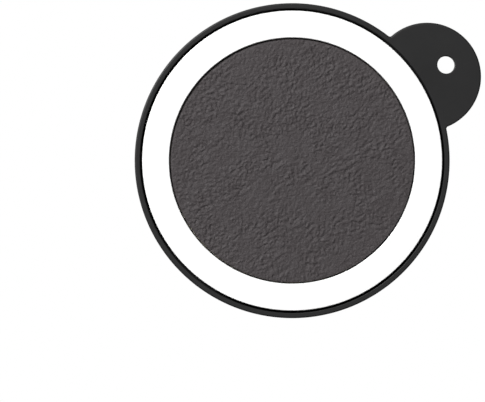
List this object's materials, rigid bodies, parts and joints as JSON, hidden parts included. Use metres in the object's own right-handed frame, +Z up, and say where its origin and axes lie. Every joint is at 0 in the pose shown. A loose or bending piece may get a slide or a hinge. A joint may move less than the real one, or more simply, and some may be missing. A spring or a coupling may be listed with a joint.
{
  "type": "magnetic suction phone mount",
  "caption": "Thin round silicone disc with a flush white magnet ring and textured inlay on its front, suction cups over its back, and a flexible pull tab with a lanyard hole.",
  "frame": {"origin": "the middle of the suction plane, where the cups' lips meet the wall", "axes": "+Y into the wall, +Z up; the magnet ring faces -Y and the pull tab hangs along -Z"},
  "size_m": [0.0588, 0.0062, 0.0692],
  "materials": {
    "black_silicone": "matt moulded silicone",
    "cup_silicone": "satin moulded silicone",
    "white_ring": "smooth white cover",
    "inlay": "crinkled synthetic leather",
    "magnet": "nickel-plated magnet",
    "back_iron": "bare steel strip",
    "adhesive": "clear amber transfer adhesive"
  },
  "bodies": {
    "suction_cups": {"suction_cup_01": "cup_silicone", "suction_cup_02": "cup_silicone", "suction_cup_03": "cup_silicone", "suction_cup_04": "cup_silicone", "suction_cup_05": "cup_silicone", "suction_cup_06": "cup_silicone", "suction_cup_07": "cup_silicone", "suction_cup_08": "cup_silicone", "suction_cup_09": "cup_silicone", "suction_cup_10": "cup_silicone", "suction_cup_11": "cup_silicone", "suction_cup_12": "cup_silicone", "suction_cup_13": "cup_silicone", "suction_cup_14": "cup_silicone", "suction_cup_15": "cup_silicone", "suction_cup_16": "cup_silicone", "suction_cup_17": "cup_silicone", "suction_cup_18": "cup_silicone", "suction_cup_19": "cup_silicone"},
    "pad": {"silicone_pad": "black_silicone", "ring_cover": "white_ring", "back_iron": "back_iron", "ring_adhesive": "adhesive", "centre_inlay": "inlay", "inlay_adhesive": "adhesive", "magnet_01": "magnet", "magnet_02": "magnet", "magnet_03": "magnet", "magnet_04": "magnet", "magnet_05": "magnet", "magnet_06": "magnet", "magnet_07": "magnet", "magnet_08": "magnet", "magnet_09": "magnet", "magnet_10": "magnet", "magnet_11": "magnet", "magnet_12": "magnet", "magnet_13": "magnet", "magnet_14": "magnet", "magnet_15": "magnet", "magnet_16": "magnet"},
    "pull_tab": {"pull_tab": "black_silicone"}
  },
  "joints": [
    {"name": "press", "type": "slide", "parent": "suction_cups", "child": "pad", "axis": [0, 1, 0], "range_m": [0, 0.0012], "stiffness_N_per_m": 2000, "deforming": ["suction_cup_01", "suction_cup_02", "suction_cup_03", "suction_cup_04", "suction_cup_05", "suction_cup_06", "suction_cup_07", "suction_cup_08", "suction_cup_09", "suction_cup_10", "suction_cup_11", "suction_cup_12", "suction_cup_13", "suction_cup_14", "suction_cup_15", "suction_cup_16", "suction_cup_17", "suction_cup_18", "suction_cup_19"]},
    {"name": "tab_bend", "type": "hinge", "parent": "pad", "child": "pull_tab", "pos_m": [0, -0.0053, -0.031], "axis": [-1, 0, 0], "range_deg": [-20, 70], "stiffness_Nm_per_rad": 0.001}
  ]
}
